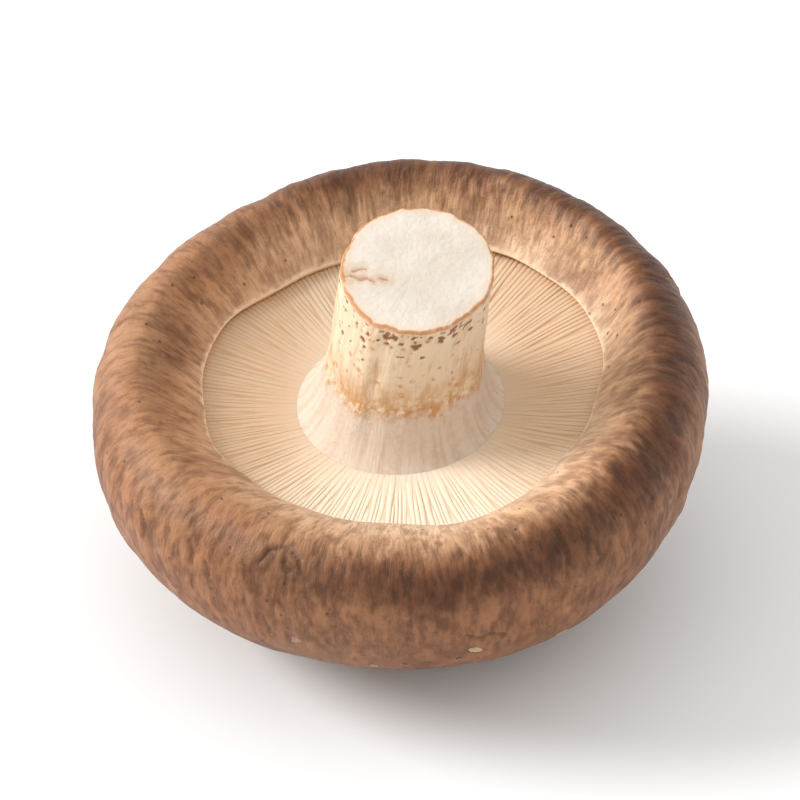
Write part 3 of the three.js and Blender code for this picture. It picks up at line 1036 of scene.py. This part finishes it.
def stalk_colour(stalk, place, grain, hairs, mottle):
    """The side's colour: cream with tan fibres, ochre and spots over the veil's scar, its shreds, specks
    under the cut, and below the scar the ivory flare with the gills' lines."""
    names = "above_scar", "shreds", "specks", "fibres", "lines"
    over, shreds, specks, fibres, lines = (stalk.pattern(name) for name in names)
    blotch = stalk.cloud(stalk.stretched(grain, (0.55, 0.55, 0.3)), 1.0, 4.0, 0.6, 0.4)
    freckle = stalk.cloud(stalk.moved(place, (4, 4, 4)), 1.7, 3.0, 0.6, 0.2)
    tan = stalk.step(hairs * 1.6 - fibres * 0.8 + (blotch - 0.5) * 2.0, 0.0, 1.0)
    front = stalk.step(stalk.height(grain, 1), 5.0, -6.0, 0.35, 1.0)
    stained = stalk.step(blotch + (mottle - 0.5) * 0.5, 0.30, 0.60)
    ochre = stalk.step(over, 6.0, 0.2) * stained * front
    roaming = stalk.wandering(place, 1.3, 0.7)
    dots = stalk.step(stalk.cells(roaming, 0.95), 0.40, 0.16)
    dots = dots * stalk.step(stalk.chance(roaming, 0.95), 0.42, 0.6)
    spots = dots * stalk.step(over, 0.3, 1.5) * stalk.step(freckle, 0.36, 0.56)
    colour = stalk.blend(tan, SIDE_CREAM, SIDE_TAN)
    marks = (
        (ochre * 0.95, OCHRE),
        (spots * 0.75, SPOT),
        (stalk.step(shreds, 0.15, 0.6) * 0.5, SHRED_CREAM),
        (stalk.step(shreds, -0.25, -0.7) * 0.6, SHRED_BROWN),
        (specks * 0.95, SPECK),
    )
    for share, its_colour in marks:
        colour = stalk.blend(share, colour, its_colour)
    flare = stalk.blend(stalk.step(mottle + lines * 0.4, 0.3, 0.9), FLARE_IVORY, FLARE_LINE)
    return stalk.blend(stalk.step(over + (mottle - 0.5) * 1.2, 0.8, -0.8), colour, flare)


def face_colour(stalk, place, mottle):
    """The cut face's colour: white felt with ivory and greyer patches, a stain and a crack."""
    crack, stain = stalk.pattern("crack"), stalk.pattern("stain")
    rays = stalk.step(stalk.cloud(place, 0.9, 4.0, 0.6), 0.4, 0.75)
    greyer = stalk.step(stalk.cloud(stalk.moved(place, (6, 0, 0)), 0.16), 0.42, 0.62)
    colour = stalk.blend(rays * 0.6, FACE_WHITE, FACE_IVORY)
    colour = stalk.blend(greyer * 0.55, colour, FACE_GREY)
    colour = stalk.blend(stain * stalk.step(mottle, 0.2, 0.55) * 0.7, colour, STAIN)
    return stalk.blend(crack * stalk.step(mottle, 0.3, 0.5) * 0.6, colour, CUT_CRACK)


def stem_finish():
    """Cream side, white felted cut face, and between them a thin broken orange-brown border."""
    stalk = Finish("stem")
    place = stalk.place()
    grain = stalk.pattern("grain", vector=True)
    below = stalk.pattern("below_cut")
    hairs = stalk.cloud(stalk.stretched(grain, (4.5, 4.5, 0.5)), 1.0, 3.0, 0.6, 0.3) - 0.5
    mottle = stalk.cloud(place, 1.5, 4.0, 0.62, 0.3)
    uneven = stalk.cloud(stalk.stretched(grain, (0.8, 0.8, 0.3)), detail=3.0) - 0.5
    fine = stalk.cloud(place, 4.5, 4.0, 0.65)
    on_side = stalk.step(below + uneven * 0.3, -0.25, 0.05)
    glow = stalk.step(below, -1.1, -0.2) * stalk.step(below, 0.6, 0.1)
    border = stalk.step(below + uneven * 0.6, -0.3, -0.06) * stalk.step(below + uneven * 0.5, 0.34, 0.06)
    broken = stalk.step(uneven, -0.3, 0.02)
    side = stalk_colour(stalk, place, grain, hairs, mottle)
    colour = stalk.blend(on_side, face_colour(stalk, place, mottle), side)
    colour = stalk.blend(glow * 0.3, colour, BORDER_GLOW)
    colour = stalk.blend(border * broken * 0.9, colour, BORDER)
    return stalk.close(
        Base_Color=colour,
        Roughness=0.64 + fine * 0.16,
        Normal=stalk.bump(fine * 0.6 + hairs * 0.7 * on_side, 0.08),
        Specular_IOR_Level=0.3,
        Subsurface_Weight=0.2,
        Subsurface_Radius=THROUGH_FLESH,
        Subsurface_Scale=0.0006,
    )


# Surroundings

FLOOR_REACH = 4.0
FLOOR_COLOURS = (0.77, 0.78, 0.79), (0.80, 0.81, 0.82)
SURROUND_COLOUR, SURROUND_STRENGTH = (1, 0.985, 0.965, 1), 1.04
KEY_STRENGTH = 3.3
KEY_BREADTH, KEY_RISE, KEY_TURN = np.radians(26), np.radians(30), np.radians(8)
CAMERA_RISE, CAMERA_DISTANCE, CAMERA_LENS = np.radians(39), 0.70, 320


def floor():
    """A wide pale matt floor."""
    surface = Finish("floor")
    mottle = surface.cloud(surface.place(), 0.01)
    surface.close(Base_Color=surface.blend(mottle, *FLOOR_COLOURS), Roughness=0.7)
    corners = [(x * FLOOR_REACH, y * FLOOR_REACH, 0) for x, y in ((-1, -1), (1, -1), (1, 1), (-1, 1))]
    mesh = bpy.data.meshes.new("floor")
    mesh.from_pydata(corners, [], [(0, 1, 2, 3)])
    mesh.materials.append(surface.material)
    piece = bpy.data.objects.new("floor", mesh)
    bpy.context.scene.collection.objects.link(piece)
    piece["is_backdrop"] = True


def studio():
    """An even white surround, and a broad low key light from the left and a little from the back."""
    world = bpy.data.worlds.new("surround")
    bpy.context.scene.world = world
    world.use_nodes = True
    background = world.node_tree.nodes["Background"]
    background.inputs["Color"].default_value = SURROUND_COLOUR
    background.inputs["Strength"].default_value = SURROUND_STRENGTH
    light = bpy.data.lights.new("key", "SUN")
    light.energy, light.angle = KEY_STRENGTH, KEY_BREADTH
    key = bpy.data.objects.new("key", light)
    along = np.cos(KEY_RISE)
    towards = Vector((along * np.cos(KEY_TURN), -along * np.sin(KEY_TURN), -np.sin(KEY_RISE)))
    key.rotation_euler = towards.to_track_quat("-Z", "Y").to_euler()
    bpy.context.scene.collection.objects.link(key)
    bpy.context.scene.view_settings.view_transform = "Standard"


def camera():
    """A long lens from the front, looking down as in the photo."""
    low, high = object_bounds()
    to_eye = Vector((0, -np.cos(CAMERA_RISE), np.sin(CAMERA_RISE)))
    lens = bpy.data.cameras.new("camera")
    lens.lens, lens.sensor_width = CAMERA_LENS, 36
    lens.clip_start, lens.clip_end = 0.01, 20
    eye = bpy.data.objects.new("camera", lens)
    eye.location = (low + high) / 2 + to_eye * CAMERA_DISTANCE
    eye.rotation_euler = (-to_eye).to_track_quat("-Z", "Y").to_euler()
    bpy.context.scene.collection.objects.link(eye)
    bpy.context.scene.camera = eye


cap_points, cap_patterns = cap_relief()
DRAWN_IN, STANDS_AT = set_down(cap_points)
cap(cap_points, cap_patterns)
gill_ring()
stem()
floor()
studio()
camera()
